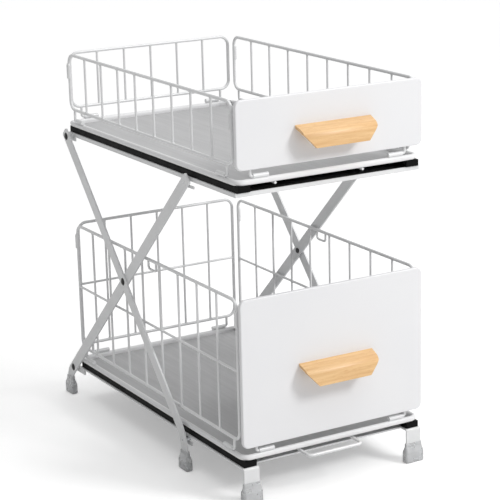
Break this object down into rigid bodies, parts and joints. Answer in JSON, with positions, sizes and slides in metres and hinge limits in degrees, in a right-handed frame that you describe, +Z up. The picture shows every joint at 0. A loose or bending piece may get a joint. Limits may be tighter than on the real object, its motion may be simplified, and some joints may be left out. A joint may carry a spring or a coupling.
{
  "type": "pull-out cabinet basket",
  "caption": "Two-tier wire basket unit with drawers on ball slides, folding wire walls and a folding strap frame.",
  "frame": {"origin": "on the floor, at the middle of the footprint", "axes": "+Z up, +Y towards the back, +X to the right seen from the front; the drawers pull out along -Y"},
  "size_m": [0.2796, 0.5138, 0.487],
  "materials": {
    "wire_white": "white powder coat, satin",
    "strap_grey": "silver-grey powder coat, satin",
    "tray_grey": "grey powder coat, fine texture",
    "panel_white": "white enamel, smooth",
    "slide_black": "black, satin",
    "bolt_black": "black oxide",
    "ball_steel": "bright steel",
    "bright_steel": "zinc-plated steel",
    "foot_cap": "soft translucent plastic",
    "handle_wood": "oiled beech, satin"
  },
  "bodies": {
    "base": {"lower_rail_left": "strap_grey", "lower_rail_right": "strap_grey", "lower_front_bar": "strap_grey", "lower_rear_bar": "strap_grey", "front_foot_cap_left": "foot_cap", "front_foot_cap_right": "foot_cap", "lower_channel_left": "slide_black", "lower_channel_right": "slide_black", "rear_bottom_bolts": "bolt_black"},
    "inner_legs": {"inner_leg_left": "strap_grey", "inner_leg_right": "strap_grey", "inner_leg_cap_left": "foot_cap", "inner_leg_cap_right": "foot_cap", "inner_leg_studs": "bright_steel"},
    "outer_legs": {"outer_leg_left": "strap_grey", "outer_leg_right": "strap_grey", "outer_leg_cap_left": "foot_cap", "outer_leg_cap_right": "foot_cap", "outer_leg_studs": "bright_steel", "crossing_rivets": "bolt_black"},
    "upper_frame": {"upper_rail_left": "strap_grey", "upper_rail_right": "strap_grey", "upper_front_bar": "strap_grey", "upper_rear_bar": "strap_grey", "upper_front_tie": "slide_black", "upper_channel_left": "slide_black", "upper_channel_right": "slide_black", "rear_top_bolts": "bolt_black"},
    "lower_cages": {"lower_cage_left": "ball_steel", "lower_cage_right": "ball_steel"},
    "lower_drawer": {"lower_tray": "tray_grey", "lower_runner_left": "slide_black", "lower_runner_right": "slide_black", "lower_hinge_sleeves": "wire_white", "lower_front_frame": "wire_white", "lower_front_panel": "panel_white", "lower_handle": "handle_wood", "lower_handle_screws": "bright_steel", "lower_pull_wire": "wire_white"},
    "lower_left_wall": {"lower_wall_left": "wire_white", "lower_clips_left": "wire_white"},
    "lower_right_wall": {"lower_wall_right": "wire_white", "lower_clips_right": "wire_white"},
    "lower_rear_wall": {"lower_wall_rear": "wire_white"},
    "upper_cages": {"upper_cage_left": "ball_steel", "upper_cage_right": "ball_steel"},
    "upper_drawer": {"upper_tray": "tray_grey", "upper_runner_left": "slide_black", "upper_runner_right": "slide_black", "upper_hinge_sleeves": "wire_white", "upper_front_frame": "wire_white", "upper_front_panel": "panel_white", "upper_handle": "handle_wood", "upper_handle_screws": "bright_steel", "upper_catch_wire": "wire_white"},
    "upper_left_wall": {"upper_wall_left": "wire_white", "upper_clips_left": "wire_white"},
    "upper_right_wall": {"upper_wall_right": "wire_white", "upper_clips_right": "wire_white"},
    "upper_rear_wall": {"upper_wall_rear": "wire_white"}
  },
  "joints": [
    {"name": "leg_fold", "type": "hinge", "parent": "base", "child": "inner_legs", "pos_m": [0, 0.23367, 0.041], "axis": [1, 0, 0], "range_deg": [0, 16]},
    {"name": "leg_crossing", "type": "hinge", "parent": "inner_legs", "child": "outer_legs", "pos_m": [0, 0.0578, 0.20788], "axis": [1, 0, 0], "range_deg": [-34, 0]},
    {"name": "upper_frame_pivot", "type": "hinge", "parent": "outer_legs", "child": "upper_frame", "pos_m": [0, 0.21268, 0.3745], "axis": [1, 0, 0], "range_deg": [0, 18]},
    {"name": "lower_drawer_slide", "type": "slide", "parent": "base", "child": "lower_drawer", "axis": [0, -1, 0], "range_m": [0, 0.3]},
    {"name": "lower_cage_roll", "type": "slide", "parent": "base", "child": "lower_cages", "axis": [0, -1, 0], "range_m": [0, 0.15]},
    {"name": "lower_left_wall_fold", "type": "hinge", "parent": "lower_drawer", "child": "lower_left_wall", "pos_m": [-0.1266, 0.00068, 0.06172], "axis": [0, 1, 0], "range_deg": [0, 90]},
    {"name": "lower_right_wall_fold", "type": "hinge", "parent": "lower_drawer", "child": "lower_right_wall", "pos_m": [0.1266, 0.00068, 0.06172], "axis": [0, -1, 0], "range_deg": [0, 85]},
    {"name": "lower_rear_wall_fold", "type": "hinge", "parent": "lower_drawer", "child": "lower_rear_wall", "pos_m": [0, 0.22068, 0.06172], "axis": [-1, 0, 0], "range_deg": [-90, 0]},
    {"name": "upper_drawer_slide", "type": "slide", "parent": "upper_frame", "child": "upper_drawer", "axis": [0, -1, 0], "range_m": [0, 0.3]},
    {"name": "upper_cage_roll", "type": "slide", "parent": "upper_frame", "child": "upper_cages", "axis": [0, -1, 0], "range_m": [0, 0.15]},
    {"name": "upper_left_wall_fold", "type": "hinge", "parent": "upper_drawer", "child": "upper_left_wall", "pos_m": [-0.1266, 0.00068, 0.39672], "axis": [0, 1, 0], "range_deg": [0, 90]},
    {"name": "upper_right_wall_fold", "type": "hinge", "parent": "upper_drawer", "child": "upper_right_wall", "pos_m": [0.1266, 0.00068, 0.39672], "axis": [0, -1, 0], "range_deg": [0, 90]},
    {"name": "upper_rear_wall_fold", "type": "hinge", "parent": "upper_drawer", "child": "upper_rear_wall", "pos_m": [0, 0.22068, 0.39672], "axis": [-1, 0, 0], "range_deg": [-90, 0]}
  ],
  "couplings": [
    {"joint": "leg_crossing", "follows": "leg_fold", "ratio": -2.084},
    {"joint": "upper_frame_pivot", "follows": "leg_fold", "ratio": 1.084},
    {"joint": "lower_cage_roll", "follows": "lower_drawer_slide", "ratio": 0.5},
    {"joint": "upper_cage_roll", "follows": "upper_drawer_slide", "ratio": 0.5}
  ]
}
